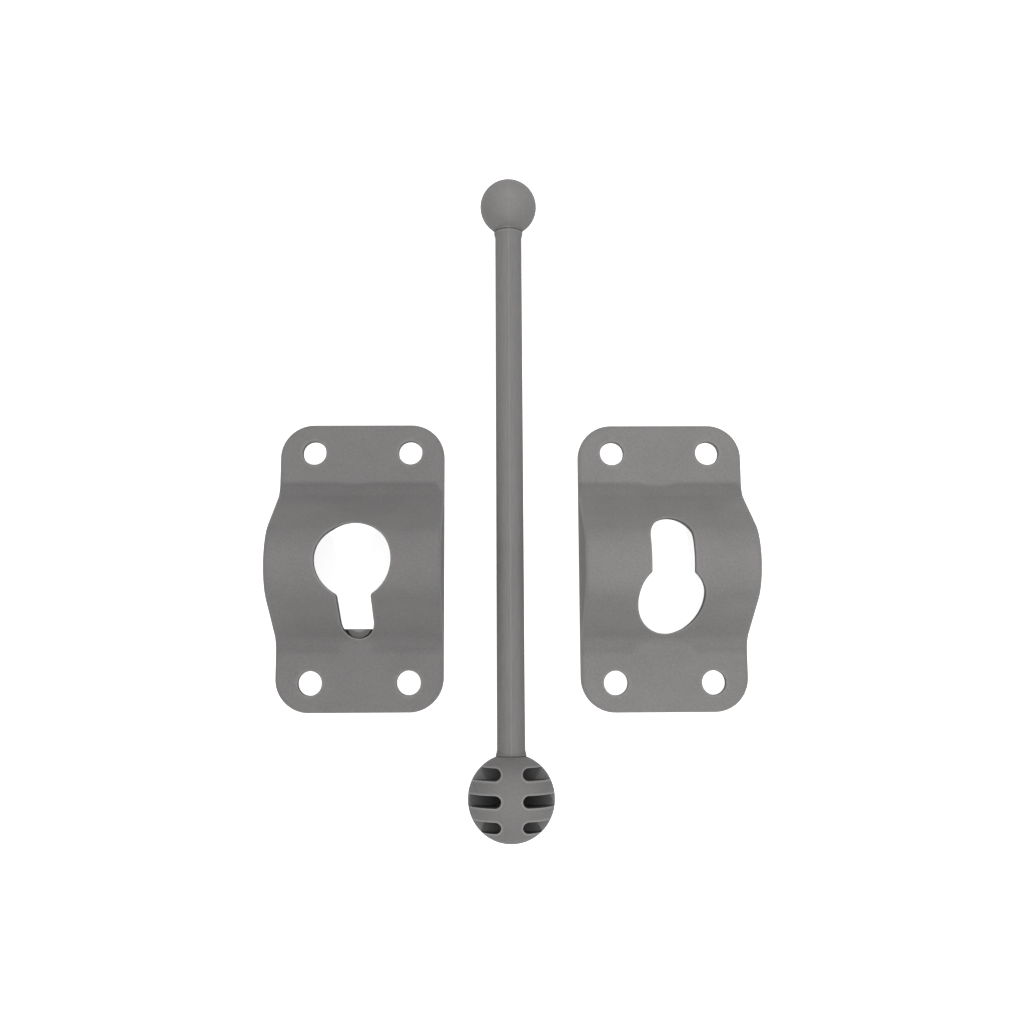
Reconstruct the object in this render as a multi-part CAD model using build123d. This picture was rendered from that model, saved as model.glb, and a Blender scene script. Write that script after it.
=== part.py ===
from build123d import *
import os
from math import asin, cos, degrees, radians, sin, sqrt, tan

# Door holdback catch, laid out flat as a kit: a rod with a ball on each end lies between two
# humped plates. All sizes are in millimetres. +Z points up from the surface that the kit lies on,
# +Y runs along the rod towards its small ball, and the origin is on that surface, at mid-kit.

# Rod and its two balls
overall_length = 152.4
rod_diameter = 6.2
pivot_ball_diameter = 19.05
catch_ball_diameter = 13.3

# Joint of the rod with each ball: a shallow seat for the whole end and a thinner spigot
seat_depth = 0.6
spigot_diameter = 2.8
spigot_length = 4.5
socket_clearance = 0.05
spigot_end_gap = 0.3

# Moulded pockets in the big ball, in rows on both sides of a spine
pocket_rows = 3
pocket_height = 2.6
pocket_pitch = 5.5
spine_width = 4.6
web_thickness = 1.6

# Plates, the same outside
plate_width = 38.3
corner_radius = 7.8
foot_length = 13.48
foot_thickness = 2.4
hump_over_ball = 2.05
crown_over_ball = 0.075
ramp_angle = 58.0
root_radius = 4.8
wall_thickness = 1.8
outer_edge_radius = 1.0

# Screw holes through the feet, and the distance of their centres from the plate's edges
screw_hole_diameter = 5.5
screw_edge_x = 7.95
screw_edge_y = 6.65

# Opening of the pivot plate: the big ball looks out of it and can't pass its lip
pivot_opening_lip = 1.225
pivot_opening_offset = 0.3
pivot_slot_side_clearance = 0.65
pivot_slot_end = -16.5
ball_seat_clearance = 0.3
ball_wall_clearance = 0.1

# Ledge that closes the low end of the pivot plate's slot towards the wall
ledge_thickness = 1.4
ledge_reach = 2.2
ledge_side = 1.2

# Opening of the catch plate: the small ball goes in low and is held by the slot above
catch_entry_clearance = 0.65
catch_entry_offset = -8.15
catch_slot_side_clearance = 1.6
catch_slot_end = 10.0

# Rounding of the corner where a slot meets its round opening, and of the openings' rims
throat_radius = 1.0
rim_radius = 0.35

# Lay-out on the surface
plate_gap = 31.25
pivot_plate_lay_y = -15.45
catch_plate_lay_y = -15.75
rod_lay_x = -0.5

# Values that follow from the sizes above
pivot_ball_radius = pivot_ball_diameter / 2
catch_ball_radius = catch_ball_diameter / 2
rod_radius = rod_diameter / 2
hump_height = pivot_ball_diameter + hump_over_ball
crown_radius = pivot_ball_radius + crown_over_ball
pivot_opening_radius = pivot_ball_radius - pivot_opening_lip
plate_spread = plate_width + plate_gap
pivot_ball_lay_y = -overall_length / 2 + pivot_ball_radius
catch_ball_lay_y = overall_length / 2 - catch_ball_radius
ball_drop = pivot_ball_radius - catch_ball_radius
ball_centres = sqrt((catch_ball_lay_y - pivot_ball_lay_y) ** 2 + ball_drop**2)
lay_tilt = -degrees(asin(ball_drop / ball_centres))
pivot_slot_radius = rod_radius + pivot_slot_side_clearance
catch_slot_radius = rod_radius + catch_slot_side_clearance
catch_entry_radius = catch_ball_radius + catch_entry_clearance
seated_ball_height = pivot_ball_radius + ball_wall_clearance
cut_height = hump_height + 5

# Section of the hump, from its crown over a ramp to the root on the foot
slope = radians(ramp_angle)
crown_centre_z = hump_height - crown_radius
crown_end_y = crown_radius * sin(slope)
crown_end_z = crown_centre_z + crown_radius * cos(slope)
ramp_foot_y = crown_end_y + (crown_end_z - foot_thickness) / tan(slope)
root_tangent = root_radius * tan(slope / 2)
root_start_y = ramp_foot_y - root_tangent * cos(slope)
root_end_y = ramp_foot_y + root_tangent
root_centre_z = foot_thickness + root_radius
plate_length = 2 * (root_end_y + foot_length)
screw_spacing_x = plate_width - 2 * screw_edge_x
screw_spacing_y = plate_length - 2 * screw_edge_y


def sphere_level(radius, around):
    """Distance from a ball's centre to the circle of the given radius on its surface."""
    return sqrt(radius**2 - around**2)


def outside_height(y):
    """Height of the hump's outside at a distance y from the middle of the plate."""
    away = abs(y)
    if away <= crown_end_y:
        return crown_centre_z + sqrt(crown_radius**2 - away**2)
    if away <= root_start_y:
        return crown_end_z - (away - crown_end_y) * tan(slope)
    if away <= root_end_y:
        return root_centre_z - sqrt(root_radius**2 - (root_end_y - away) ** 2)
    return foot_thickness


def hump_section():
    """Section of the outside: two feet, and a hump with round crown, straight ramps and round roots."""
    half_length = plate_length / 2
    root_middle_y = root_end_y - root_radius * sin(slope / 2)
    crown = [(0, y, outside_height(y)) for y in (-crown_end_y, 0, crown_end_y)]
    edges = [ThreePointArc(*crown)]
    for side in (-1, 1):
        at = [(0, side * y, outside_height(y)) for y in (root_start_y, root_middle_y, root_end_y)]
        top_corner = (0, side * half_length, foot_thickness)
        edges.append(Line((0, side * crown_end_y, crown_end_z), at[0]))
        edges.append(ThreePointArc(*at))
        edges.append(Line(at[2], top_corner))
        edges.append(Line(top_corner, (0, side * half_length, 0)))
    edges.append(Line((0, -half_length, 0), (0, half_length, 0)))
    return Face(Wire(edges))


def cavity_section():
    """Section of the hollow under the hump, one wall thickness inside, open at the bottom."""
    radius = crown_radius - wall_thickness
    top_y = radius * sin(slope)
    top_z = crown_centre_z + radius * cos(slope)
    below = -foot_thickness
    mouth_y = top_y + (top_z - below) / tan(slope)
    edges = [
        ThreePointArc((0, -top_y, top_z), (0, 0, hump_height - wall_thickness), (0, top_y, top_z)),
        Line((0, top_y, top_z), (0, mouth_y, below)),
        Line((0, mouth_y, below), (0, -mouth_y, below)),
        Line((0, -mouth_y, below), (0, -top_y, top_z)),
    ]
    return Face(Wire(edges))


def outline_edges(body):
    """Top edges round the outline of a plate, not the lines across it."""
    found = []
    for edge in body.edges():
        centre = edge.center()
        on_side = abs(centre.X) > plate_width / 2 - corner_radius
        on_end = abs(centre.Y) > plate_length / 2 - 0.01
        if centre.Z > foot_thickness - 0.01 and (on_side or on_end):
            found.append(edge)
    return found


def plate_shell():
    """Plate without its openings: outline, hump, feet, hollow and screw holes."""
    outline = extrude(RectangleRounded(plate_width, plate_length, corner_radius), cut_height)
    body = extrude(hump_section(), plate_width / 2, dir=(1, 0, 0), both=True) & outline
    body = fillet(outline_edges(body), outer_edge_radius)
    inside_width = plate_width - 2 * wall_thickness
    body -= extrude(cavity_section(), inside_width / 2, dir=(1, 0, 0), both=True)
    for place in GridLocations(screw_spacing_x, screw_spacing_y, 2, 2):
        body -= place * Cylinder(screw_hole_diameter / 2, 4 * foot_thickness)
    return body


def keyhole(round_radius, round_y, slot_radius, slot_end_y):
    """Plan of a round opening with a round-ended slot, with the two throat corners rounded."""
    towards = 1 if slot_end_y > round_y else -1
    run = abs(slot_end_y - round_y) - slot_radius
    plan = Pos(0, round_y) * Circle(round_radius)
    plan += Pos(0, round_y + towards * run / 2) * Rectangle(2 * slot_radius, run)
    throat_y = round_y + towards * sphere_level(round_radius, slot_radius)
    throats = [v for v in plan.vertices() if abs(v.Y - throat_y) < 0.01]
    plan = fillet(throats, throat_radius)
    return plan + Pos(0, round_y + towards * run) * Circle(slot_radius)


def round_rim(body, plan):
    """Round the edges where an opening comes out of the top of the hump."""
    walls = extrude(plan, cut_height)
    rim = []
    for edge in body.edges():
        middle = edge @ 0.5
        on_wall = Vertex(middle.X, middle.Y, cut_height / 2).distance_to(walls) < 0.01
        if on_wall and abs(middle.Z - outside_height(middle.Y)) < 0.02:
            rim.append(edge)
    return fillet(rim, rim_radius)


def slot_ledge():
    """Ledge under the low end of the pivot plate's slot, joined to the foot."""
    width = 2 * (pivot_slot_radius + ledge_side)
    inner_y = pivot_slot_end + ledge_reach
    outer_y = -root_end_y
    centre = Pos(0, (inner_y + outer_y) / 2, ledge_thickness / 2)
    return centre * Box(width, inner_y - outer_y, ledge_thickness)


def pivot_plate():
    """Plate that holds the big ball: round opening, slot for the folded rod and a seat inside."""
    plan = keyhole(pivot_opening_radius, pivot_opening_offset, pivot_slot_radius, pivot_slot_end)
    seat = Sphere(pivot_ball_radius + ball_seat_clearance)
    body = plate_shell() + slot_ledge()
    body -= Pos(0, 0, ledge_thickness) * extrude(plan, cut_height)
    body -= Pos(0, pivot_opening_offset, seated_ball_height) * seat
    return round_rim(body, plan)


def catch_plate():
    """Plate that the small ball goes into: round entry below, slot above with a round end."""
    body = plate_shell()
    plan = keyhole(catch_entry_radius, catch_entry_offset, catch_slot_radius, catch_slot_end)
    body -= extrude(plan, cut_height, both=True)
    return round_rim(body, plan)


def ball_with_socket(radius):
    """Ball centred on its own origin, with the rod's socket on its +Y side."""
    seat_y = sphere_level(radius, rod_radius) - seat_depth
    ball = Sphere(radius, rotation=(90, 0, 0))
    seat = Cylinder(rod_radius + socket_clearance, radius, rotation=(90, 0, 0))
    ball -= Pos(0, seat_y + radius / 2, 0) * seat
    depth = spigot_length + spigot_end_gap
    hole = Cylinder(spigot_diameter / 2 + socket_clearance, depth, rotation=(90, 0, 0))
    ball -= Pos(0, seat_y - depth / 2, 0) * hole
    return ball


def pocket_plan(side, row_y):
    """Plan of one pocket: round end at the spine, open at the ball's side."""
    end_radius = pocket_height / 2
    inner_x = side * (spine_width / 2 + end_radius)
    middle_x = inner_x + side * pivot_ball_radius / 2
    return Pos(inner_x, row_y) * Circle(end_radius) + Pos(middle_x, row_y) * Rectangle(
        pivot_ball_radius, pocket_height
    )


def pivot_ball():
    """Big ball, cored from both faces so that a web is left across its middle."""
    ball = ball_with_socket(pivot_ball_radius)
    for row in range(pocket_rows):
        row_y = (row - (pocket_rows - 1) / 2) * pocket_pitch
        for side in (-1, 1):
            plan = pocket_plan(side, row_y)
            ball -= Pos(0, 0, web_thickness / 2) * extrude(plan, pivot_ball_radius)
            ball -= Pos(0, 0, -web_thickness / 2) * extrude(plan, -pivot_ball_radius)
    return ball


def rod():
    """Round rod along +Y, from its seat in the big ball to its seat in the small one."""
    start_y = sphere_level(pivot_ball_radius, rod_radius) - seat_depth
    end_y = ball_centres - sphere_level(catch_ball_radius, rod_radius) + seat_depth
    length = end_y - start_y
    shaft = Cylinder(rod_radius, length, rotation=(90, 0, 0))
    shaft += Cylinder(spigot_diameter / 2, length + 2 * spigot_length, rotation=(90, 0, 0))
    return Pos(0, start_y + length / 2, 0) * shaft


def lay_rod(shape):
    """Rod frame to the lay-out: both balls touch the surface, so the rod slopes a little."""
    return Pos(rod_lay_x, pivot_ball_lay_y, pivot_ball_radius) * Rot(lay_tilt, 0, 0) * shape


def build():
    """All pieces in their places."""
    small_ball = Rot(0, 0, 180) * ball_with_socket(catch_ball_radius)
    return {
        "pivot_plate": Pos(-plate_spread / 2, pivot_plate_lay_y, 0) * pivot_plate(),
        "catch_plate": Pos(plate_spread / 2, catch_plate_lay_y, 0) * catch_plate(),
        "rod": lay_rod(rod()),
        "pivot_ball": lay_rod(pivot_ball()),
        "catch_ball": lay_rod(Pos(0, ball_centres, 0) * small_ball),
    }


os.makedirs("parts", exist_ok=True)
for name, shape in build().items():
    export_step(shape, "parts/" + name + ".step")
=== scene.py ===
# %% [markdown]
# Door holdback catch, as a kit laid out flat: two humped plates and a rod with a ball on each end,
# all moulded in one satin grey plastic.
#
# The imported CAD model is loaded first. It says where each piece is and which body carries it, so
# every new piece is made in the same place and then put on that body.

# %% Load the frame
from math import asin, cos, degrees, hypot, pi, radians, sin, sqrt, tan

import bmesh
import bpy
import numpy as np
from mathutils import Matrix, Vector
from mathutils.geometry import delaunay_2d_cdt


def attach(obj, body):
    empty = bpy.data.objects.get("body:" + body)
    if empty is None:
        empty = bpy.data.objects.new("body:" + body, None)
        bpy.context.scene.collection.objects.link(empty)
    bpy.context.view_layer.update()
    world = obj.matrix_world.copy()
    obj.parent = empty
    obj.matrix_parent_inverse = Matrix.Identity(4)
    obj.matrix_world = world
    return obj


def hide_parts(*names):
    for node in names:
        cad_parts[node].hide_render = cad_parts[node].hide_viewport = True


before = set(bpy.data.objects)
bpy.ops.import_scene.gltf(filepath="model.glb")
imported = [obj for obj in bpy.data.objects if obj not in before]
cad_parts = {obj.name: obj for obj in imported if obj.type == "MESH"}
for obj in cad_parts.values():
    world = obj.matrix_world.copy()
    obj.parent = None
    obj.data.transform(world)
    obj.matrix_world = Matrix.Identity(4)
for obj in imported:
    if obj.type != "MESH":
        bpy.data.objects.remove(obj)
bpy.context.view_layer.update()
MM = 0.001

# %% [markdown]
# The sizes are the real object's, in millimetres. A moulding is described by few numbers: the rest
# follows from them, as the end of a ramp follows from its angle and from where the crown ends.

# %% Sizes of the rod and its balls
rod_radius = 3.1
big_radius = 9.525
small_radius = 6.65
length_over_balls = 152.4
rod_lay_x = -0.5
big_lay_y = -length_over_balls / 2 + big_radius
small_lay_y = length_over_balls / 2 - small_radius
ball_drop = big_radius - small_radius
ball_centres = hypot(small_lay_y - big_lay_y, ball_drop)
rod_slope = -asin(ball_drop / ball_centres)
rod_place = Matrix.Translation((rod_lay_x * MM, big_lay_y * MM, big_radius * MM)) @ Matrix.Rotation(
    rod_slope, 4, "X"
)
print("ball centres", round(ball_centres, 2), "mm apart, slope", round(degrees(rod_slope), 2), "degrees")

# %% Sizes of the plates
plate_width = 38.3
corner_radius = 7.8
foot_length = 13.48
foot_thickness = 2.4
hump_height = 21.1
crown_radius = 9.6
ramp = radians(58)
root_radius = 4.8
wall = 1.8
edge_radius = 1.0
screw_radius = 2.75
screw_x = 11.2
screw_from_end = 6.65
pivot_lay = (-34.775, -15.45)
catch_lay = (34.775, -15.75)
rim_radius = 0.35
crown_z = hump_height - crown_radius
crown_end_y = crown_radius * sin(ramp)
crown_end_z = crown_z + crown_radius * cos(ramp)
ramp_foot_y = crown_end_y + (crown_end_z - foot_thickness) / tan(ramp)
root_end_y = ramp_foot_y + root_radius * tan(ramp / 2)
root_start_y = ramp_foot_y - root_radius * tan(ramp / 2) * cos(ramp)
half_width = plate_width / 2
half_length = root_end_y + foot_length
screw_y = half_length - screw_from_end
hollow_half_width = half_width - wall
hollow_top_y = (crown_radius - wall) * sin(ramp)
hollow_top_z = crown_z + (crown_radius - wall) * cos(ramp)
hollow_mouth_y = hollow_top_y + hollow_top_z / tan(ramp)
print("plate", round(plate_width, 2), "by", round(2 * half_length, 2), "mm")
print("hollow to", round(hollow_mouth_y, 2), "mm each way along it")

# %% [markdown]
# The camera comes next, set to the photograph's view. The view is a little off the lens's own
# axis, which a small shift gives without turning the camera.

# %% Camera
def in_scene(name, data):
    """New object with this data, linked to the scene."""
    made = bpy.data.objects.new(name, data)
    bpy.context.scene.collection.objects.link(made)
    return made


picture_width = 1024
sensor_width = 36
focal_pixels = 1200.0
principal_row = 458.13
lean, roll, yaw = 0.1621, -0.0171, -0.0054
lens_at = np.array([-4.8235, -35.6714, 279.5111])
nearest_seen = 0.01
ahead = np.array([0, sin(lean), -cos(lean)])
across = np.array([1.0, 0, 0])
axes = np.array([across, np.cross(ahead, across), ahead])
about_y = np.array([[cos(roll), 0, sin(roll)], [0, 1, 0], [-sin(roll), 0, cos(roll)]])
about_z = np.array([[cos(yaw), -sin(yaw), 0], [sin(yaw), cos(yaw), 0], [0, 0, 1]])
axes = axes @ (about_y @ about_z).T
camera = in_scene("camera", bpy.data.cameras.new("camera"))
turn = Matrix([list(axes[0]), list(-axes[1]), list(-axes[2])]).transposed()
camera.matrix_world = Matrix.Translation(Vector(lens_at * MM)) @ turn.to_4x4()
camera.data.sensor_width = sensor_width
camera.data.lens = sensor_width * focal_pixels / picture_width
camera.data.shift_y = (principal_row - picture_width / 2) / picture_width
camera.data.clip_start = nearest_seen
bpy.context.scene.camera = camera
print("lens", round(camera.data.lens, 1), "mm, shift", round(camera.data.shift_y, 4))

# %% [markdown]
# Everything is one plastic, coloured grey all through and moulded in a mould with a fine satin
# texture. A flat colour would look like clay, so three effects are laid over it: the grain of the
# mould, a painted highlight on the rims with painted shade on deep floors, and the parting line,
# where the two halves of the mould met, painted a little lighter as a highlight on its ridge. More
# than one finish uses them, so each is a shader node group that puts out only values. All of them
# read the piece's own place in millimetres.

# %% Helpers for node trees
def fill(node, inputs):
    """Gives a node's inputs, by name or number, a value or another node's output."""
    for name, value in dict(inputs).items():
        if isinstance(value, bpy.types.NodeSocket):
            node.id_data.links.new(value, node.inputs[name])
        else:
            node.inputs[name].default_value = value


def add(tree, kind, inputs=(), **options):
    """Adds a node with its options and inputs."""
    node = tree.nodes.new(kind)
    for option, value in options.items():
        setattr(node, option, value)
    fill(node, inputs)
    return node


def maths(operation, *values):
    """Output of a Math node, in the tree that the sockets among its values belong to."""
    tree = next(value.id_data for value in values if isinstance(value, bpy.types.NodeSocket))
    return add(tree, "ShaderNodeMath", dict(enumerate(values)), operation=operation).outputs[0]


def new_group(name, kind, takes, gives):
    """Empty node group: takes and gives list its sockets as name, kind and starting value."""
    group = bpy.data.node_groups.new(name, kind)
    for way, sockets in (("INPUT", takes), ("OUTPUT", gives)):
        for label, socket, *start in sockets:
            made = group.interface.new_socket(label, in_out=way, socket_type="NodeSocket" + socket)
            if start:
                made.default_value = start[0]
    return group, group.nodes.new("NodeGroupInput").outputs, group.nodes.new("NodeGroupOutput")


def new_material(name):
    """Material with its node tree and its shader."""
    material = bpy.data.materials.new(name)
    material.use_nodes = True
    return material, material.node_tree, material.node_tree.nodes["Principled BSDF"]


# %% Effects that the finishes share
cloud_scale = 0.12
cloud_share = 0.6
gloss_change = 0.12
# Patches of the painted highlight on the rims, and the strength of the painted shade:
patch_scale = 0.9
patch_least = 0.6
patch_change = 0.8
rim_fall = 1.5
darkest = 0.85
fine_detail = 3.0
coarse_detail = 2.0


def noise(tree, place, scale, detail):
    """Value of a Noise Texture node."""
    return add(tree, "ShaderNodeTexNoise", {"Vector": place, "Scale": scale, "Detail": detail}).outputs[0]


def mould_grain():
    """Fine grain of the mould's surface, with slow clouds of tone and gloss under it."""
    takes = [("Place", "Vector"), ("Grain Size", "Float", 0.3)]
    takes += [("Tone Change", "Float", 0.42), ("Gloss", "Float", 0.4)]
    gives = [("Tone", "Float"), ("Roughness", "Float"), ("Height", "Float")]
    group, given, result = new_group("mould grain", "ShaderNodeTree", takes, gives)
    fineness = maths("DIVIDE", 1.0, given["Grain Size"])
    fine = noise(group, given["Place"], fineness, fine_detail)
    clouds = noise(group, given["Place"], cloud_scale, coarse_detail)
    # Each noise lies about a half, so this middle is taken off to let their sum lie about nothing.
    middle = 0.5 * (1 + cloud_share)
    both = maths("SUBTRACT", maths("MULTIPLY_ADD", clouds, cloud_share, fine), middle)
    tone = maths("MULTIPLY_ADD", both, given["Tone Change"], 1.0)
    roughness = maths("MULTIPLY_ADD", both, gloss_change, given["Gloss"])
    fill(result, {"Tone": tone, "Roughness": roughness, "Height": fine})
    return group


def painted_rim_light():
    """Mask of the painted highlight on the rims, from each piece's value of painted light and shade, broken
    up by noise, and painted shade where that value is below zero.
    """
    takes = [("Place", "Vector"), ("Amount", "Float", 0.5)]
    gives = [("Mask", "Float"), ("Shade", "Float")]
    group, given, result = new_group("painted rim light and shade", "ShaderNodeTree", takes, gives)
    painted_light_and_shade = add(group, "ShaderNodeAttribute", attribute_name="painted_light_and_shade").outputs["Fac"]
    patchy = noise(group, given["Place"], patch_scale, coarse_detail)
    patches = maths("MULTIPLY_ADD", patchy, patch_change, patch_least)
    share = maths("MULTIPLY", given["Amount"], patches)
    rim = maths("POWER", maths("MAXIMUM", painted_light_and_shade, 0.0), rim_fall)
    shade = maths("MULTIPLY_ADD", maths("MINIMUM", painted_light_and_shade, 0.0), darkest, 1.0)
    fill(result, {"Mask": maths("MULTIPLY", rim, share), "Shade": shade})
    return group


def parting_line():
    """Thin line where the mould's halves met, across one direction: 1 on the line, 0 beside it."""
    takes = [("Across", "Float"), ("At", "Float", 0.0), ("Width", "Float", 0.15)]
    group, given, result = new_group("parting line", "ShaderNodeTree", takes, [("Mask", "Float")])
    away = maths("ABSOLUTE", maths("SUBTRACT", given["Across"], given["At"]))
    near = maths("SUBTRACT", 1.0, maths("DIVIDE", away, given["Width"]))
    fill(result, {"Mask": maths("MAXIMUM", near, 0.0)})
    return group


grain_effect, rim_effect, line_effect = mould_grain(), painted_rim_light(), parting_line()
print("effects:", [group.name for group in (grain_effect, rim_effect, line_effect)])

# %% [markdown]
# The finishes differ only in small things. The plates have a parting line round the edge of the
# feet. The balls have one round their middle, and the rod one along its top and bottom, with faint
# streaks along it from the flow of the plastic. A Mapping node turns the pattern into the rod's own
# direction, because the rod lies at a slope from the large ball down to the small one.

# %% Finishes
grey = (0.187, 0.1825, 0.180)
# The painted highlights on rims, ridges and the pad mix towards this lighter grey.
highlight_grey = (0.38, 0.373, 0.368, 1)
line_highlight = 0.12
line_height = 1.5
bump_strength = 0.35
bump_distance = 0.02 * MM
plastic_ior = 1.5
# The colour sockets of a Mix node share their names with others, so they are found by number.
mix_a, mix_b, mixed = 6, 7, 2


def satin_grey(name, line_axis, line_at, gloss, grain_size, highlight_amount, streaks=1.0, turned=None, level=1.0):
    """Satin grey plastic. level scales its grey as painted light and shade, streaks draws its grain out,
    turned is its own frame.
    """
    finish, tree, shader = new_material(name)
    frame_values = {"Vector": add(tree, "ShaderNodeTexCoord").outputs["Object"], "Scale": (MM, MM, MM)}
    if turned:
        frame_values |= {"Location": turned.to_translation(), "Rotation": turned.to_euler()}
    own = add(tree, "ShaderNodeMapping", frame_values, vector_type="TEXTURE").outputs[0]
    drawn = add(tree, "ShaderNodeMapping", {"Vector": own, "Scale": (1, 1 / streaks, 1)}).outputs[0]
    grain_values = {"Place": drawn, "Grain Size": grain_size, "Gloss": gloss}
    grain = add(tree, "ShaderNodeGroup", grain_values, node_tree=grain_effect).outputs
    rims = add(tree, "ShaderNodeGroup", {"Place": own, "Amount": highlight_amount}, node_tree=rim_effect).outputs
    line_values = {"Across": add(tree, "ShaderNodeSeparateXYZ", {0: own}).outputs[line_axis], "At": line_at}
    line = add(tree, "ShaderNodeGroup", line_values, node_tree=line_effect).outputs["Mask"]
    tone = maths("MULTIPLY", grain["Tone"], rims["Shade"])
    own_grey = [level * part for part in grey]
    toned = add(tree, "ShaderNodeVectorMath", {0: own_grey, "Scale": tone}, operation="SCALE").outputs[0]
    # Painted highlight: the parting line and the rims are mixed towards the lighter grey.
    lighter = maths("MULTIPLY_ADD", line, line_highlight, rims["Mask"])
    mix_values = {"Factor": lighter, mix_a: toned, mix_b: highlight_grey}
    colour = add(tree, "ShaderNodeMix", mix_values, data_type="RGBA").outputs[mixed]
    raised = maths("MULTIPLY_ADD", line, line_height, grain["Height"])
    bump_values = {"Height": raised, "Strength": bump_strength, "Distance": bump_distance}
    bump = add(tree, "ShaderNodeBump", bump_values).outputs[0]
    fill(shader, {"Base Color": colour, "Roughness": grain["Roughness"], "Normal": bump, "IOR": plastic_ior})
    return finish


plate_look = {"line_axis": "Z", "line_at": 1.1, "grain_size": 0.5, "highlight_amount": 0.5}
ball_look = {"line_axis": "Z", "line_at": 0.0, "grain_size": 0.45, "turned": rod_place}
rod_look = {"line_axis": "X", "line_at": 0.0, "grain_size": 0.4, "turned": rod_place, "streaks": 10}
# One plastic: the levels below are painted light and shade, lighter on the pieces that stand in more light
# and darker on the others.
wall_plate_finish = satin_grey("satin grey wall plate", gloss=0.78, level=0.945, **plate_look)
door_plate_finish = satin_grey("satin grey door plate", gloss=0.76, level=1.11, **plate_look)
large_ball_finish = satin_grey("satin grey large ball", gloss=0.7, level=0.94, highlight_amount=0.9, **ball_look)
small_ball_finish = satin_grey("satin grey small ball", gloss=0.62, level=1.03, highlight_amount=0.5, **ball_look)
rod_finish = satin_grey("satin grey rod", gloss=0.74, level=0.94, highlight_amount=0.45, **rod_look)
print("nodes in a finish:", len(rod_finish.node_tree.nodes))

# %% [markdown]
# A moulding comes out of its mould in one direction, so over each point of its plan it has one top
# height and one bottom height. A box with booleans could make the plates, but its rims would be as
# sharp as the cut. Here the plan is cut into small triangles along every outline, and the two
# heights are worked out at each corner, which gives real rounded rims and one closed mesh.
#
# First come the outlines. Each is a closed line of points with the direction that points into the
# plastic, so the same line can be drawn again a little further in, for a rounded rim.

# %% Outlines in plan
same_point = 1e-4


def arc(centre, radius, start, end, step, inward=1):
    """Points of an arc with the direction into the plastic: 1 is towards the arc's centre."""
    count = max(2, int(abs(end - start) * radius / step) + 1)
    points = []
    for i in range(count + 1):
        angle = start + (end - start) * i / count
        out = np.array([cos(angle), sin(angle)])
        points.append((np.array(centre) + radius * out, -inward * out))
    return points


def straight(start, end, into, step):
    """Points between the two ends of a straight stretch, without the ends."""
    count = max(1, int(hypot(end[0] - start[0], end[1] - start[1]) / step))
    start, end = np.array(start), np.array(end)
    return [(start + (end - start) * i / count, np.array(into)) for i in range(1, count)]


def joined(stretches):
    """One closed outline of stretches, without points that repeat."""
    points = [p for stretch in stretches for p in stretch]
    kept = [points[0]]
    for point in points[1:]:
        if np.linalg.norm(point[0] - kept[-1][0]) > same_point:
            kept.append(point)
    if np.linalg.norm(kept[0][0] - kept[-1][0]) < same_point:
        kept.pop()
    return np.array([p[0] for p in kept]), np.array([p[1] for p in kept])


def rounded_rectangle(half_x, half_y, radius, step):
    """Outline of the plates: the plastic is inside it."""
    x, y = half_x - radius, half_y - radius
    return joined([
        arc((x, y), radius, 0, pi / 2, step),
        straight((x, half_y), (-x, half_y), (0, -1), step),
        arc((-x, y), radius, pi / 2, pi, step),
        straight((-half_x, y), (-half_x, -y), (1, 0), step),
        arc((-x, -y), radius, pi, 3 * pi / 2, step),
        straight((-x, -half_y), (x, -half_y), (0, 1), step),
        arc((x, -y), radius, 3 * pi / 2, 2 * pi, step),
        straight((half_x, -y), (half_x, y), (-1, 0), step),
    ])


def round_hole(centre, radius, step):
    """Outline of a screw hole: the plastic is outside it."""
    return joined([arc(centre, radius, 0, 2 * pi, step, inward=-1)])


def keyhole(round_radius, round_y, slot_radius, slot_end_y, throat, step):
    """Outline of a round opening and the slot that runs from it, with both throat corners rounded."""
    way = 1 if slot_end_y > round_y else -1
    slot_centre_y = slot_end_y - way * slot_radius
    throat_x = slot_radius + throat
    throat_y = sqrt((round_radius + throat) ** 2 - throat_x**2)
    lean_out = asin(throat_x / (round_radius + throat))
    top = pi / 2
    run = way * (slot_centre_y - round_y)
    fine_step = step / 4
    points, into = joined([
        arc((0, 0), round_radius, top + lean_out, top + 2 * pi - lean_out, step, inward=-1),
        arc((throat_x, throat_y), throat, 1.5 * pi - lean_out, pi, fine_step),
        straight((slot_radius, throat_y), (slot_radius, run), (1, 0), step),
        arc((0, run), slot_radius, 0, pi, step, inward=-1),
        straight((-slot_radius, run), (-slot_radius, throat_y), (-1, 0), step),
        arc((-throat_x, throat_y), throat, 0, -top + lean_out, fine_step),
    ])
    flip = np.array([way, way])
    return points * flip + np.array([0, round_y]), into * flip


edge_rows = 5
rim_rows = 3


def offsets(radius, count):
    """How far in from a rounded rim its rows of points are, from the wall to where it ends."""
    return [radius * (1 - cos(pi / 2 * i / count)) for i in range(count + 1)]


print("rows of a rounded edge, mm from the wall:", np.round(offsets(edge_radius, edge_rows), 3))

# %% [markdown]
# The next helpers work on many points at once: the distance to an outline, whether a point lies
# inside it, and how far a rounded rim drops at that distance.

# %% Distances and rims
def distance_to(outline, points):
    """Distance of each point to the nearest stretch of a closed outline."""
    start = outline
    run = np.roll(outline, -1, axis=0) - start
    size = (run**2).sum(axis=1)
    best = np.full(len(points), np.inf)
    for i in range(len(start)):
        along = np.clip(((points - start[i]) @ run[i]) / size[i], 0, 1)
        gap = points - start[i] - along[:, None] * run[i]
        best = np.minimum(best, np.hypot(*gap.T))
    return best


def inside(outline, points):
    """Whether each point lies inside a closed outline."""
    result = np.zeros(len(points), bool)
    x, y = points.T
    for (x0, y0), (x1, y1) in zip(outline, np.roll(outline, -1, axis=0)):
        if y0 != y1:
            crosses = (y0 > y) != (y1 > y)
            result ^= crosses & (x < x0 + (y - y0) * (x1 - x0) / (y1 - y0))
    return result


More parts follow.
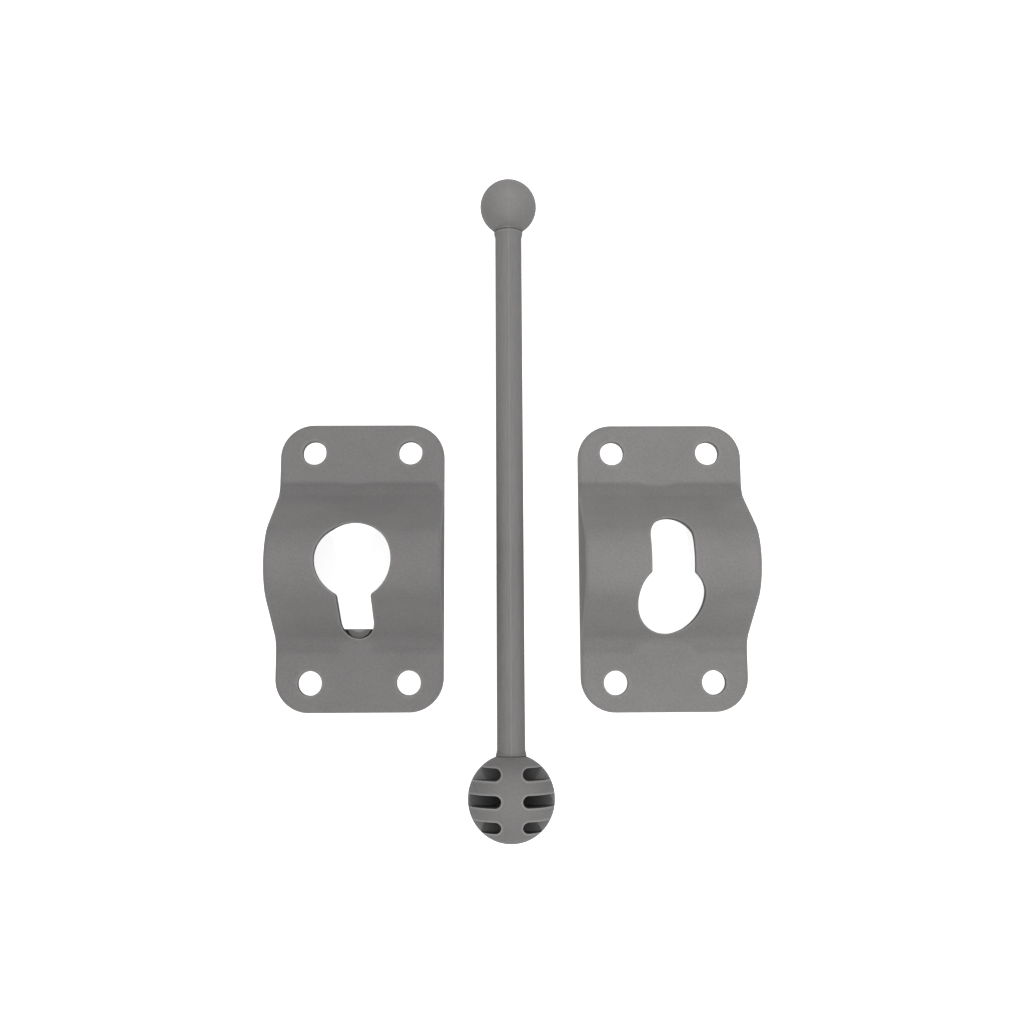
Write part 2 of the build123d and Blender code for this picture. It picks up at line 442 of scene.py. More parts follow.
def rim_drop(distance, radius):
    """How far a rounded rim lies below the sharp one: the whole radius at the wall, nothing inside."""
    left = np.clip(radius - distance, 0, None)
    return radius - np.sqrt(np.clip(radius**2 - left**2, 0, None))


print("drop of the rim at 0, 0.2 and 1 mm:", rim_drop(np.array([0, 0.2, 1.0]), edge_radius).round(3))

# %% [markdown]
# This is the builder of the mouldings. The plan is cut into triangles that keep to the outlines,
# each triangle gets a named top and bottom level, and wherever neighbours have different levels
# a wall joins them. Each corner also gets a value of painted light and shade for the material. It is 1
# on a rim and falls off within half a millimetre, which paints a highlight along the rims. Below zero
# it paints shade on the floors that hardly any light reaches, and on the walls round them.

# %% Build a moulding from its plan
plan_tolerance = 1e-6
# A rim's painted highlight fades out over this width.
highlight_width = 0.5
wall_strip = 0.5
wall_strip_share = 0.3
# The walls round a floor with painted shade get at least this much painted shade.
wall_darkness = 0.95


def moulding(name, rows, dots, tidy, levels_at, heights, painted_light, from_rim, place, finish, dark=()):
    """Closed mesh over a plan. heights gives a height for each level, dark how much painted shade a deep one
    gets.
    """
    points, edges = [], []
    for row in rows:
        first = len(points)
        points += [Vector(p) for p in row]
        edges += [(first + i, first + (i + 1) % len(row)) for i in range(len(row))]
    points += [Vector(p) for p in dots]
    flat, _, faces = delaunay_2d_cdt(points, edges, [], 0, plan_tolerance)[:3]
    flat = tidy(np.array([tuple(v) for v in flat]))
    faces = np.array([tuple(f) for f in faces])
    a, b, c = flat[faces[:, 0]], flat[faces[:, 1]], flat[faces[:, 2]]
    (run_x, run_y), (side_x, side_y) = (b - a).T, (c - a).T
    area = run_x * side_y - run_y * side_x
    faces[area < 0] = faces[area < 0][:, ::-1]
    levels = levels_at((a + b + c) / 3)
    z = {level: function(flat) for level, function in heights.items()}
    rim_highlight = np.clip(1 - from_rim(flat) / highlight_width, 0, 1)
    darkness = {level: function(flat) for level, function in dict(dark).items()}
    numbers, corners, painted_light_and_shade, made = {}, [], [], []

    def painted_light_at(index, level):
        """Painted highlight, 1 on a rim, and painted shade, below 0, on a dark floor and on the walls round
        it, which are at least as dark.
        """
        if level in painted_light:
            return rim_highlight[index]
        if level in darkness:
            return -darkness[level][index]
        if isinstance(level, tuple):
            for floor in level[:2]:
                if floor in darkness:
                    return -max(darkness[floor][index], wall_darkness)
        return 0

    def corner(index, level, height=None):
        if (index, level) not in numbers:
            numbers[index, level] = len(corners)
            corners.append((*flat[index], z[level][index] if height is None else height))
            painted_light_and_shade.append(painted_light_at(index, level))
        return numbers[index, level]

    def wall_between(p, q, level, other):
        """Wall in three strips, so that the painted highlight and shade stay near its rims."""
        sides = []
        for index in (q, p):
            high, low = z[level][index], z[other][index]
            inset = np.clip(wall_strip_share * (high - low), -wall_strip, wall_strip)
            sides.append([
                corner(index, level),
                corner(index, (level, other, "upper"), high - inset),
                corner(index, (level, other, "lower"), low + inset),
                corner(index, other),
            ])
        for i in range(3):
            made.append([sides[0][i], sides[1][i], sides[1][i + 1], sides[0][i + 1]])

    owner = {}
    for number, face in enumerate(faces):
        if levels[number]:
            for i in range(3):
                owner[face[i], face[(i + 1) % 3]] = number
    for number, face in enumerate(faces):
        if not levels[number]:
            continue
        top, bottom = levels[number]
        made.append([corner(i, top) for i in face])
        made.append([corner(i, bottom) for i in face[::-1]])
        for i in range(3):
            p, q = face[i], face[(i + 1) % 3]
            other = owner.get((q, p))
            if other is None:
                wall_between(p, q, top, bottom)
            elif other > number:
                if levels[other][0] != top:
                    wall_between(p, q, top, levels[other][0])
                if levels[other][1] != bottom:
                    wall_between(q, p, bottom, levels[other][1])
    return finished(name, corners, made, painted_light_and_shade, place, finish)


merge_distance = 0.0004
end_share = 0.001
sharp_angle = radians(38)


def knit(work):
    """Where a corner of one wall lies on the open edge of another, both get that corner."""
    for corner in [v for v in work.verts if any(e.is_boundary for e in v.link_edges)]:
        for edge in [e for e in work.edges if e.is_boundary and corner not in e.verts]:
            start, run = edge.verts[0], edge.verts[1].co - edge.verts[0].co
            along = (corner.co - start.co).dot(run) / run.length_squared
            off_edge = (start.co + along * run - corner.co).length
            if end_share < along < 1 - end_share and off_edge < merge_distance:
                bmesh.utils.edge_split(edge, start, along)
    bmesh.ops.remove_doubles(work, verts=work.verts, dist=merge_distance)


def finished(name, corners, faces, painted_light_and_shade, place, finish):
    """Piece in metres: doubles merged, smooth faces, real corners kept sharp."""
    mesh = bpy.data.meshes.new(name)
    mesh.from_pydata(corners, [], faces)
    mesh.attributes.new("painted_light_and_shade", "FLOAT", "POINT").data.foreach_set("value", painted_light_and_shade)
    work = bmesh.new()
    work.from_mesh(mesh)
    bmesh.ops.remove_doubles(work, verts=work.verts, dist=merge_distance)
    bmesh.ops.dissolve_degenerate(work, edges=work.edges, dist=merge_distance)
    knit(work)
    work.to_mesh(mesh)
    work.free()
    mesh.transform(place @ Matrix.Scale(MM, 4))
    mesh.polygons.foreach_set("use_smooth", [True] * len(mesh.polygons))
    mesh.set_sharp_from_angle(angle=sharp_angle)
    mesh.materials.append(finish)
    piece = in_scene(name, mesh)
    shading = piece.modifiers.new("even shading", "WEIGHTED_NORMAL")
    shading.keep_sharp = True
    return piece


def report(piece):
    """Prints what a piece measures, and whether its mesh is closed."""
    corners = np.array([tuple(v.co) for v in piece.data.vertices]) / MM
    work = bmesh.new()
    work.from_mesh(piece.data)
    open_edges = sum(not e.is_manifold for e in work.edges)
    triangles = sum(len(f.verts) - 2 for f in work.faces)
    volume = work.calc_volume(signed=True) / MM**3
    work.free()
    size = (corners.max(axis=0) - corners.min(axis=0)).round(2)
    print(piece.name, size, "mm, volume", round(volume), "triangles", triangles, "open edges", open_edges)


# %% [markdown]
# Both plates have the same outside: two feet and a hump with a round crown, straight ramps and
# round roots. The hump is hollow, one wall thickness inside and open towards the wall behind it, so
# that the balls fit. These two rules give the height of the plastic over any point of the plan.

# %% Heights of the hump
def outside(points):
    """Height of the hump's outside over each point."""
    away = abs(points[:, 1])
    crown = crown_z + np.sqrt(np.clip(crown_radius**2 - away**2, 0, None))
    on_ramp = crown_end_z - (away - crown_end_y) * tan(ramp)
    root = foot_thickness + root_radius - np.sqrt(np.clip(root_radius**2 - (root_end_y - away) ** 2, 0, None))
    where = [away <= crown_end_y, away <= root_start_y, away <= root_end_y]
    return np.select(where, [crown, on_ramp, root], foot_thickness)


def hollow(points):
    """Height of the hollow's roof over each point."""
    away = abs(points[:, 1])
    crown = crown_z + np.sqrt(np.clip((crown_radius - wall) ** 2 - away**2, 0, None))
    on_ramp = hollow_top_z - (away - hollow_top_y) * tan(ramp)
    return np.clip(np.where(away <= hollow_top_y, crown, on_ramp), 0, None)


across_middle = np.array([[0, y] for y in (0, 5, 10, 15, 20, 25.0)])
print("outside at y 0 to 25 mm:", outside(across_middle).round(2))
print("hollow's roof there:    ", hollow(across_middle).round(2))

# %% Plates
outline_step = 0.45
screw_rim = 0.25
back_rim = 0.3
square_corner = 0.01
dot_step = 0.4
dot_margin = 1.5
dot_gap = 0.15
edge_gap = 0.2
foot_row = 3
ledge_overlap = 1


def everywhere(value):
    """Rule that gives one value at every point."""
    return lambda points: np.full(len(points), value)


def humped_plate(name, opening, lay, finish, seat=None, ledge=None):
    """Plate with one opening. seat is a ball hollowed out of its inside, ledge two floors in its slot."""
    outline, outline_in = rounded_rectangle(half_width, half_length, corner_radius, outline_step)
    hole, hole_in = opening
    screws = [
        round_hole((x, y), screw_radius, outline_step / 2)
        for x in (-screw_x, screw_x)
        for y in (-screw_y, screw_y)
    ]
    mouth = rounded_rectangle(hollow_half_width, hollow_mouth_y, square_corner, outline_step)[0]
    rows = [outline + d * outline_in for d in offsets(edge_radius, edge_rows)]
    rows += [hole + d * hole_in for d in offsets(rim_radius, rim_rows)]
    rows += [line + d * into for line, into in screws for d in offsets(screw_rim, rim_rows)]
    rows.append(mouth)
    ledge_end = -hollow_mouth_y - ledge_overlap
    if ledge:
        middle = (ledge["inner_y"] + ledge_end) / 2
        shelf = rounded_rectangle(ledge["half_width"], middle - ledge_end, square_corner, outline_step)[0]
        rows.append(shelf + np.array([0, middle]))
        rows.append(round_hole(ledge["pad_at"], ledge["pad_radius"], outline_step / 2)[0])
    # The hump needs every row of points, and a flat foot only some.
    dots = []
    for i, y in enumerate(np.arange(-half_length + dot_margin, half_length - dot_margin, dot_step)):
        if abs(y) < root_end_y + dot_step or i % foot_row == 0:
            left = -half_width + dot_margin + dot_step * (i % 2)
            dots += [(x, y) for x in np.arange(left, half_width - dot_margin, 2 * dot_step)]
    dots = np.array(dots)
    free = inside(outline, dots) & (distance_to(outline, dots) > edge_radius + edge_gap)
    free &= ~inside(hole, dots) & (distance_to(hole, dots) > rim_radius + dot_gap)
    for line, _ in screws:
        free &= ~inside(line, dots) & (distance_to(line, dots) > screw_rim + dot_gap)
    free &= distance_to(mouth, dots) > dot_gap

    def from_rims(points):
        return [distance_to(line, points) for line in (outline, hole, *(s[0] for s in screws))]

    def top(points):
        edge, opening_rim, *screw_rims = from_rims(points)
        height = outside(points) - rim_drop(edge, edge_radius) - rim_drop(opening_rim, rim_radius)
        return height - sum(rim_drop(d, screw_rim) for d in screw_rims)

    def back(points):
        edge, _, *screw_rims = from_rims(points)
        return rim_drop(edge, back_rim) + sum(rim_drop(d, screw_rim) for d in screw_rims)

    def roof(points):
        height = hollow(points)
        if seat:
            away = np.hypot(points[:, 0], points[:, 1] - seat["y"])
            in_seat = seat["z"] + np.sqrt(np.clip(seat["radius"] ** 2 - away**2, 0, None))
            height = np.where(away < seat["radius"], np.maximum(height, in_seat), height)
        return height

    def levels_at(points):
        x, y = points.T
        solid = inside(outline, points)
        for line, _ in screws:
            solid &= ~inside(line, points)
        opened = inside(hole, points)
        hollowed = (abs(x) < hollow_half_width) & (abs(y) < hollow_mouth_y)
        shelved = on_pad = np.zeros(len(points), bool)
        if ledge:
            shelved = (abs(x) < ledge["half_width"]) & (y < ledge["inner_y"]) & (y > ledge_end)
            pad_x, pad_y = ledge["pad_at"]
            on_pad = np.hypot(x - pad_x, y - pad_y) < ledge["pad_radius"]
        above = np.where(opened, np.where(on_pad, "pad", "groove"), "top").tolist()
        below = np.where(hollowed & ~shelved, "roof", "back").tolist()
        plastic = solid & (shelved | ~opened)
        return [(a, b) if there else None for a, b, there in zip(above, below, plastic)]

    def to_rim(points):
        return np.min(from_rims(points), axis=0)

    heights = {"top": top, "back": back, "roof": roof}
    dark = {}
    if ledge:
        for floor in ("groove", "pad"):
            heights[floor], dark[floor] = map(everywhere, ledge[floor])
    piece = moulding(
        name, rows, dots[free], tidy=lambda flat: flat, levels_at=levels_at, heights=heights,
        painted_light=("top", "back"), from_rim=to_rim,
        place=Matrix.Translation((lay[0] * MM, lay[1] * MM, 0)), finish=finish, dark=dark,
    )
    report(piece)
    return piece


pivot_y = 0.3
pivot_opening = keyhole(
    round_radius=8.3, round_y=pivot_y, slot_radius=3.75, slot_end_y=-16.5, throat=1.0, step=outline_step / 2
)
catch_opening = keyhole(
    round_radius=7.3, round_y=-8.15, slot_radius=4.7, slot_end_y=10.0, throat=0.6, step=outline_step / 2
)
seat_gap = 0.3
seat_lift = 0.1
pivot_seat = {"radius": big_radius + seat_gap, "y": pivot_y, "z": big_radius + seat_lift}
pivot_ledge = {"half_width": 4.95, "inner_y": -14.3, "pad_at": (-0.25, -13.6), "pad_radius": 2.75}
# Each floor has a height and a darkness: painted shade in the groove, and painted light on the pad.
pivot_ledge |= {"groove": (0.3, 0.9), "pad": (1.4, -1.0)}
pivot_plate = humped_plate(
    "pivot_plate_moulding", pivot_opening, pivot_lay, wall_plate_finish, pivot_seat, pivot_ledge
)
catch_plate = humped_plate("catch_plate_moulding", catch_opening, catch_lay, door_plate_finish)

# %% [markdown]
# The large ball is cored: three pockets go in from the top and three from the bottom on each side
# of a spine, so that the plastic is equally thick everywhere and doesn't sink as it cools. The
# pockets repeat, so Geometry Nodes draw their outlines: one rounded rectangle, put on each point of
# a short line on both sides. Its end at the spine is round, and the other end is outside the ball.
# The Grow input draws the same outlines a little further out, for the rounded rims.

# %% Pocket outlines
corner_points = 14
nearly_half = 0.4999


def new_maker(name, takes):
    """Empty Geometry Nodes tree that gives one geometry."""
    return new_group(name, "GeometryNodeTree", takes, [("Geometry", "Geometry")])


def pocket_tree():
    """Tree of the pocket outlines in plan, in millimetres."""
    tree, given, result = new_maker("pocket outlines", [
        ("Rows", "Int", 3), ("Pitch", "Float", 5.5), ("Height", "Float", 2.6), ("Spine Width", "Float", 4.6),
        ("Outer End", "Float", 12.0), ("Grow", "Float", 0.0), ("Finish", "Material"),
    ])
    shrink = maths("MULTIPLY", given["Grow"], -1.0)
    inner = maths("MULTIPLY_ADD", given["Spine Width"], 0.5, shrink)
    high = maths("MULTIPLY_ADD", given["Grow"], 2.0, given["Height"])
    wide = maths("SUBTRACT", given["Outer End"], inner)
    box = add(tree, "GeometryNodeCurvePrimitiveQuadrilateral", {"Width": wide, "Height": high}).outputs[0]
    corner = {"Curve": box, "Radius": maths("MULTIPLY", high, nearly_half), "Count": corner_points}
    rounded = add(tree, "GeometryNodeFilletCurve", corner, mode="POLY").outputs[0]
    middle = maths("MULTIPLY", maths("ADD", given["Outer End"], inner), 0.5)
    shift = add(tree, "ShaderNodeCombineXYZ", {"X": middle}).outputs[0]
    pocket = add(tree, "GeometryNodeTransform", {"Geometry": rounded, "Translation": shift}).outputs[0]
    half_pitch = maths("MULTIPLY", given["Pitch"], 0.5)
    first_y = maths("MULTIPLY", maths("SUBTRACT", 1.0, given["Rows"]), half_pitch)
    first = add(tree, "ShaderNodeCombineXYZ", {"Y": first_y}).outputs[0]
    pitch = add(tree, "ShaderNodeCombineXYZ", {"Y": given["Pitch"]}).outputs[0]
    places = {"Count": given["Rows"], "Start Location": first, "Offset": pitch}
    line = add(tree, "GeometryNodeMeshLine", places, mode="OFFSET").outputs[0]
    both = add(tree, "GeometryNodeJoinGeometry")
    for turn_by in (0, pi):
        sides = {"Points": line, "Instance": pocket, "Rotation": (0, 0, turn_by)}
        fill(both, {0: add(tree, "GeometryNodeInstanceOnPoints", sides).outputs[0]})
    real = add(tree, "GeometryNodeRealizeInstances", {0: both.outputs[0]})
    lines = add(tree, "GeometryNodeCurveToMesh", {"Curve": real.outputs[0]})
    last = add(tree, "GeometryNodeSetMaterial", {"Geometry": lines.outputs[0], "Material": given["Finish"]})
    fill(result, {0: last.outputs[0]})
    return tree


def grown(tree, name, sizes):
    """Plain mesh that a tree makes with these sizes."""
    maker = in_scene(name, bpy.data.meshes.new(name))
    modifier = maker.modifiers.new("tree", "NODES")
    modifier.node_group = tree
    for item in tree.interface.items_tree:
        if item.in_out == "INPUT" and item.name in sizes:
            modifier[item.identifier] = sizes[item.name]
    ready = maker.evaluated_get(bpy.context.evaluated_depsgraph_get())
    mesh = bpy.data.meshes.new_from_object(ready)
    maker.modifiers.remove(modifier)
    bpy.data.objects.remove(maker)
    return mesh


pocket_rows = 3
pocket_rim = 0.2
pocket_maker = pocket_tree()
pockets_by_grow = []
for grow in offsets(pocket_rim, rim_rows):
    lines = grown(pocket_maker, "pockets", {"Rows": pocket_rows, "Grow": grow, "Finish": large_ball_finish})
    flat_points = np.array([tuple(v.co)[:2] for v in lines.vertices])
    pockets_by_grow.append(flat_points.reshape(2 * pocket_rows, -1, 2))
pockets = pockets_by_grow[0]
print("pockets, points and coordinates:", pockets.shape)

# %% [markdown]
# With the pocket outlines, the ball is a moulding like the plates: round in plan, as high as a
# sphere, and only as high as the web where there is a pocket. The rings of its plan are spaced by
# equal angles, so they look the same all the way round the ball.

# %% Large ball
web_half = 0.8
rim_share = 0.45
least_rim = 0.0001
shade_slope = 1.5
shade_start = 0.45
lightest = -0.5
rim_tolerance = 0.004


def to_pocket(points):
    """Distance of each point to the nearest pocket outline."""
    return np.min([distance_to(pocket, points) for pocket in pockets], axis=0)


def skin_height(points):
    """Height of the sphere over each point."""
    return np.sqrt(np.clip(big_radius**2 - (points**2).sum(axis=1), 0, None))


def ball_top(points):
    """Height of the ball's skin over each point, with the pocket rims rounded."""
    skin = skin_height(points)
    rim = np.clip(rim_share * (skin - web_half), least_rim, pocket_rim)
    return skin - rim_drop(to_pocket(points), rim)


def web_top(points):
    """Height of a pocket's floor, which ends where the ball's skin comes down to it."""
    return np.minimum(web_half, skin_height(points))


def pocket_shade(points):
    """Painted shade on a pocket's floor: nearly black at the spine, and a little painted light where it is
    shallow.
    """
    depth = 1 - (points**2).sum(axis=1) / big_radius**2
    return np.clip(shade_slope * depth - shade_start, lightest, 1)


def onto_rim(flat):
    """Where an outline crosses the outermost ring, the crossing goes onto the ball's own radius."""
    away = np.hypot(*flat.T)
    at_rim = abs(away - big_radius) < rim_tolerance
    return np.where(at_rim[:, None], flat * (big_radius / np.maximum(away, plan_tolerance))[:, None], flat)


def ball_levels(points):
    """Skin or web at each point: nothing outside the ball."""
    pocketed = np.any([inside(pocket, points) for pocket in pockets], axis=0)
    levels = []
    for away, in_pocket in zip(np.hypot(*points.T), pocketed):
        here = ("web", "web below") if in_pocket else ("skin", "skin below")
        levels.append(here if away <= big_radius else None)
    return levels


# A ring every 3 degrees from the pole, one where the skin comes down to the web, and two at the rim.
ring_degrees = (*range(3, 85, 3), 85.18, 87.5, 90)
# The first number is the radius from which a ring has the second number of points.
ring_points = ((5, 132), (1.5, 66), (0, 24))
ball_rows = []
for ring in (big_radius * sin(radians(angle)) for angle in ring_degrees):
    count = next(number for least, number in ring_points if ring > least)
    ball_rows.append([(ring * cos(2 * pi * i / count), ring * sin(2 * pi * i / count)) for i in range(count)])
ball_rows += [pocket for outlines in pockets_by_grow for pocket in outlines]
ball_heights = {"skin": ball_top, "web": web_top}
ball_heights["skin below"] = lambda points: -ball_top(points)
ball_heights["web below"] = lambda points: -web_top(points)
large_ball = moulding(
    "large_ball", ball_rows, [(0.0, 0.0)], tidy=onto_rim, levels_at=ball_levels, heights=ball_heights,
    painted_light=("skin", "skin below"), from_rim=to_pocket, place=rod_place, finish=large_ball_finish,
    dark={"web": pocket_shade, "web below": pocket_shade},
)
report(large_ball)

# %% [markdown]
# The rod follows a rule: a circle along a straight line, whose radius grows a little just before
# each ball and rounds off where it meets it, which leaves a fine groove at each seam. The seam is
# painted dark as painted shade in that groove, and the collar beside it lighter as a painted
# highlight. A parting ridge runs along its top and bottom, with a painted highlight on it. Geometry
# Nodes suit this: the circle is swept along a line of points that lie closer together near the ends.

# %% Rod tree
# Painted highlight on the parting ridge and the collars, and painted shade in the seams:
ridge_highlight = 16.0
collar_middle = 0.4
collar_highlight = 0.7
collar_fade = 3.0
seam_shade = 1.1
seam_fade = 5.0


def position(tree):
    """Place of each point of a tree's geometry."""
    return add(tree, "GeometryNodeInputPosition").outputs[0]


def ridged(tree, geometry, given, outward, rims=None, seams=None):
    """Lifts the points at the parting plane, stores a painted highlight on the ridge and rims and painted
    shade in the seams, ends the tree.
    """
    across = add(tree, "ShaderNodeSeparateXYZ", {0: position(tree)}).outputs["X"]
    away = maths("DIVIDE", across, given["Ridge Width"])
    # A bell curve: 1 at the parting plane x = 0, and nearly 0 two ridge widths from it.
    near = maths("EXPONENT", maths("MULTIPLY", maths("MULTIPLY", away, away), -1.0))
    lift = maths("MULTIPLY", near, given["Ridge Height"])
    offset = add(tree, "ShaderNodeVectorMath", {0: outward, "Scale": lift}, operation="SCALE").outputs[0]
    painted_light = maths("MULTIPLY", near, maths("MULTIPLY", given["Ridge Height"], ridge_highlight))
    if rims:
        painted_light = maths("SUBTRACT", maths("MAXIMUM", painted_light, rims), seams)
    painted_light_and_shade = {"Geometry": geometry, "Name": "painted_light_and_shade", "Value": painted_light}
    stored = add(tree, "GeometryNodeStoreNamedAttribute", painted_light_and_shade)
    moved = add(tree, "GeometryNodeSetPosition", {"Geometry": stored.outputs[0], "Offset": offset})
    smooth = add(tree, "GeometryNodeSetShadeSmooth", {"Geometry": moved.outputs[0]})
    real = add(tree, "GeometryNodeRealizeInstances", {0: smooth.outputs[0]})
    return add(tree, "GeometryNodeSetMaterial", {"Geometry": real.outputs[0], "Material": given["Finish"]})


def rod_tree():
    """Tree of the rod along Y, in millimetres: Start and End are its seams with the balls."""
    tree, given, result = new_maker("rod with flared ends", [
        ("Start", "Float", 8.9), ("End", "Float", 130.5), ("Radius", "Float", 3.1), ("Flare", "Float", 0.3),
        ("Flare Length", "Float", 1.6), ("Lip", "Float", 0.3), ("Collar", "Float", 0.65),
        ("Into Ball", "Float", 0.2), ("Rings", "Int", 240), ("Sides", "Int", 144),
        ("Ridge Height", "Float", 0.03), ("Ridge Width", "Float", 0.12), ("Finish", "Material"),
    ])
    line = add(tree, "GeometryNodeMeshLine", {"Count": given["Rings"]}, mode="OFFSET")
    number = add(tree, "GeometryNodeInputIndex").outputs[0]
    share = maths("DIVIDE", number, maths("SUBTRACT", given["Rings"], 1.0))
    eased = maths("MULTIPLY_ADD", maths("COSINE", maths("MULTIPLY", share, pi)), -0.5, 0.5)
    first = maths("SUBTRACT", given["Start"], given["Into Ball"])
    span = maths("SUBTRACT", maths("ADD", given["End"], given["Into Ball"]), first)
    along = maths("MULTIPLY_ADD", eased, span, first)
    there = add(tree, "ShaderNodeCombineXYZ", {"Y": along}).outputs[0]
    spaced = add(tree, "GeometryNodeSetPosition", {"Geometry": line.outputs[0], "Position": there})
    path = add(tree, "GeometryNodeMeshToCurve", {0: spaced.outputs[0]})
    here = add(tree, "ShaderNodeSeparateXYZ", {0: position(tree)}).outputs["Y"]
    from_start = maths("SUBTRACT", here, given["Start"])
    from_end = maths("SUBTRACT", maths("SUBTRACT", given["End"], given["Collar"]), here)
    from_nearest = maths("MINIMUM", from_start, from_end)
    from_seam = maths("MINIMUM", from_start, maths("ABSOLUTE", from_end))
    flare = add(
        tree, "ShaderNodeMapRange",
        {"Value": from_seam, "From Max": given["Flare Length"], "To Min": given["Flare"], "To Max": 0.0},
        interpolation_type="SMOOTHSTEP",
    ).outputs[0]
    past_seam = maths("MAXIMUM", from_seam, 0.0)
    inset = maths("MAXIMUM", maths("SUBTRACT", given["Lip"], past_seam), 0.0)
    lip_square = maths("MULTIPLY", given["Lip"], given["Lip"])
    bulge = maths("SQRT", maths("SUBTRACT", lip_square, maths("MULTIPLY", inset, inset)))
    drop = maths("SUBTRACT", given["Lip"], bulge)
    radius = maths("ADD", given["Radius"], maths("SUBTRACT", flare, drop))
    circle = add(tree, "GeometryNodeCurvePrimitiveCircle", {"Resolution": given["Sides"], "Radius": 1.0})
    tube = add(
        tree, "GeometryNodeCurveToMesh",
        {"Curve": path.outputs[0], "Profile Curve": circle.outputs[0], "Scale": radius, "Fill Caps": True},
    )
    flattened = add(tree, "ShaderNodeVectorMath", {0: position(tree), 1: (1, 0, 1)}, operation="MULTIPLY")
    outward = add(tree, "ShaderNodeVectorMath", {0: flattened.outputs[0]}, operation="NORMALIZE").outputs[0]
    # Painted highlight on the collar beside each seam, and painted shade in the seam itself.
    close = maths("ABSOLUTE", from_seam)
    beside = maths("ABSOLUTE", maths("SUBTRACT", from_nearest, collar_middle))
    rims = maths("SUBTRACT", collar_highlight, maths("MULTIPLY", beside, collar_fade))
    faded = maths("SUBTRACT", seam_shade, maths("MULTIPLY", close, seam_fade))
    seams = maths("MAXIMUM", faded, 0.0)
    fill(result, {0: ridged(tree, tube.outputs[0], given, outward, rims, seams).outputs[0]})
    return tree


# %% Rod
def placed(name, mesh, place):
    """Piece from a mesh in millimetres, put in its place."""
    mesh.name = name
    mesh.transform(place @ Matrix.Scale(MM, 4))
    piece = in_scene(name, mesh)
    report(piece)
    return piece


flare = 0.3
flare_radius = rod_radius + flare
start_seam = sqrt(big_radius**2 - flare_radius**2)
end_seam = ball_centres - sqrt(small_radius**2 - flare_radius**2)
rod_sizes = {"Start": start_seam, "End": end_seam, "Radius": rod_radius, "Flare": flare, "Finish": rod_finish}
rod = placed("rod_moulding", grown(rod_tree(), "rod", rod_sizes), rod_place)
print("rod between seams:", round(end_seam - start_seam, 2), "mm")

# %% [markdown]
# The small ball is a plain sphere with the same parting ridge. Its poles lie at its sides, so that
# the rings of the sphere run along the ridge, and the top shows no pole.

# %% Small ball
def small_ball_tree():
    """Tree of the small ball about its own centre, in millimetres."""
    tree, given, result = new_maker("small ball", [
        ("Radius", "Float", 6.65), ("Segments", "Int", 128), ("Rings", "Int", 95),
        ("Ridge Height", "Float", 0.015), ("Ridge Width", "Float", 0.2), ("Finish", "Material"),
    ])
    # The ridge stands proud of the radius, so the sphere is that much smaller.
    radius = maths("SUBTRACT", given["Radius"], given["Ridge Height"])
    sizes = {"Segments": given["Segments"], "Rings": given["Rings"], "Radius": radius}
    sphere = add(tree, "GeometryNodeMeshUVSphere", sizes)
    turned = add(tree, "GeometryNodeTransform", {"Geometry": sphere.outputs[0], "Rotation": (0, pi / 2, 0)})
    outward = add(tree, "ShaderNodeVectorMath", {0: position(tree)}, operation="NORMALIZE")
    fill(result, {0: ridged(tree, turned.outputs[0], given, outward.outputs[0]).outputs[0]})
    return tree


small_sizes = {"Radius": small_radius, "Finish": small_ball_finish}
small_place = rod_place @ Matrix.Translation((0, ball_centres * MM, 0))
small_ball = placed("small_ball", grown(small_ball_tree(), "small ball", small_sizes), small_place)

# %% [markdown]
# The photograph has a white background with hardly a shadow. The floor is a pale board that glows a
# little to the camera alone, which lifts it to white and leaves a faint shadow.

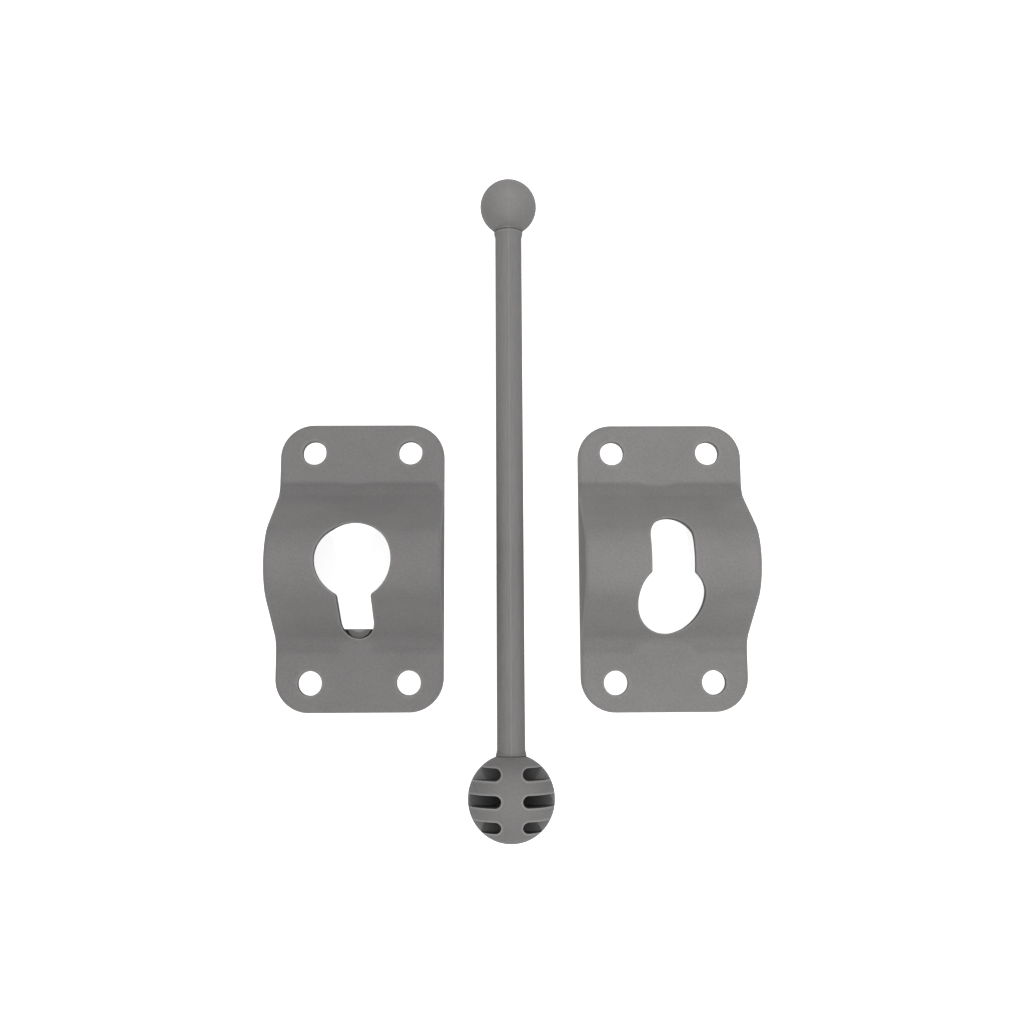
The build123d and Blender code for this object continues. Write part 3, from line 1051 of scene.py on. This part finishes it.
# %% Floor and background
floor_half = 2
floor_gap = 0.00005
board_glow = 0.85
fill_level = 0.33
white = (1, 1, 1, 1)
board_values = {"Base Color": (0.88, 0.88, 0.88, 1), "Roughness": 0.9, "Specular IOR Level": 0.1}
corners = [(x * floor_half, y * floor_half, -floor_gap) for x, y in ((-1, -1), (1, -1), (1, 1), (-1, 1))]
floor_mesh = bpy.data.meshes.new("floor")
floor_mesh.from_pydata(corners, [], [(0, 1, 2, 3)])
floor = in_scene("floor", floor_mesh)
board, board_tree, board_shader = new_material("pale board")
glow = maths("MULTIPLY", add(board_tree, "ShaderNodeLightPath").outputs["Is Camera Ray"], board_glow)
fill(board_shader, board_values | {"Emission Color": white, "Emission Strength": glow})
floor_mesh.materials.append(board)

world = bpy.data.worlds.new("white surroundings")
bpy.context.scene.world = world
world.use_nodes = True
sky = world.node_tree
rays = add(sky, "ShaderNodeLightPath").outputs
mirrored = maths("MAXIMUM", rays["Is Glossy Ray"], rays["Is Transmission Ray"])
seen = maths("MAXIMUM", rays["Is Camera Ray"], mirrored)
level = maths("MAXIMUM", seen, fill_level)
fill(sky.nodes["Background"], {"Strength": level, "Color": white})
print("fill level", fill_level)

# %% [markdown]
# The hump keeps each of them off the root on its other side, and its shadow ends just where the
# flat foot begins: that is why the plates darken so suddenly there.

# %% Lamps
def soft_lamp(name, centre, width, depth, share):
    lamp = bpy.data.lights.new(name, "AREA")
    lamp.shape = "RECTANGLE"
    lamp.size, lamp.size_y = width, depth
    away = Vector(centre)
    lamp.energy = share * pi**2 * away.length**3 / away.z
    lamp_object = in_scene(name, lamp)
    lamp_object.matrix_world = Matrix.Translation(centre) @ away.to_track_quat("Z", "Y").to_matrix().to_4x4()
    print(name, "power", round(lamp.energy, 2), "W")


soft_lamp("overhead_panel", centre=(0, 0.13, 0.38), width=0.8, depth=0.85, share=0.62)
soft_lamp("south_lamp", centre=(0.1, -0.79, 1.0), width=0.05, depth=0.05, share=0.30)
soft_lamp("north_lamp", centre=(0.04, 0.77, 1.0), width=0.06, depth=0.06, share=0.16)

# %% [markdown]
# Last, every piece goes onto the body that carries it and stands for its CAD node.

# %% Put the pieces on their bodies
for piece, body, node in (
    (pivot_plate, "pivot_side", "pivot_plate"),
    (catch_plate, "catch_side", "catch_plate"),
    (rod, "swing_rod", "rod"),
    (large_ball, "swing_rod", "pivot_ball"),
    (small_ball, "swing_rod", "catch_ball"),
):
    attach(piece, body)
    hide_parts(node)
bpy.context.scene.view_settings.view_transform = "Standard"
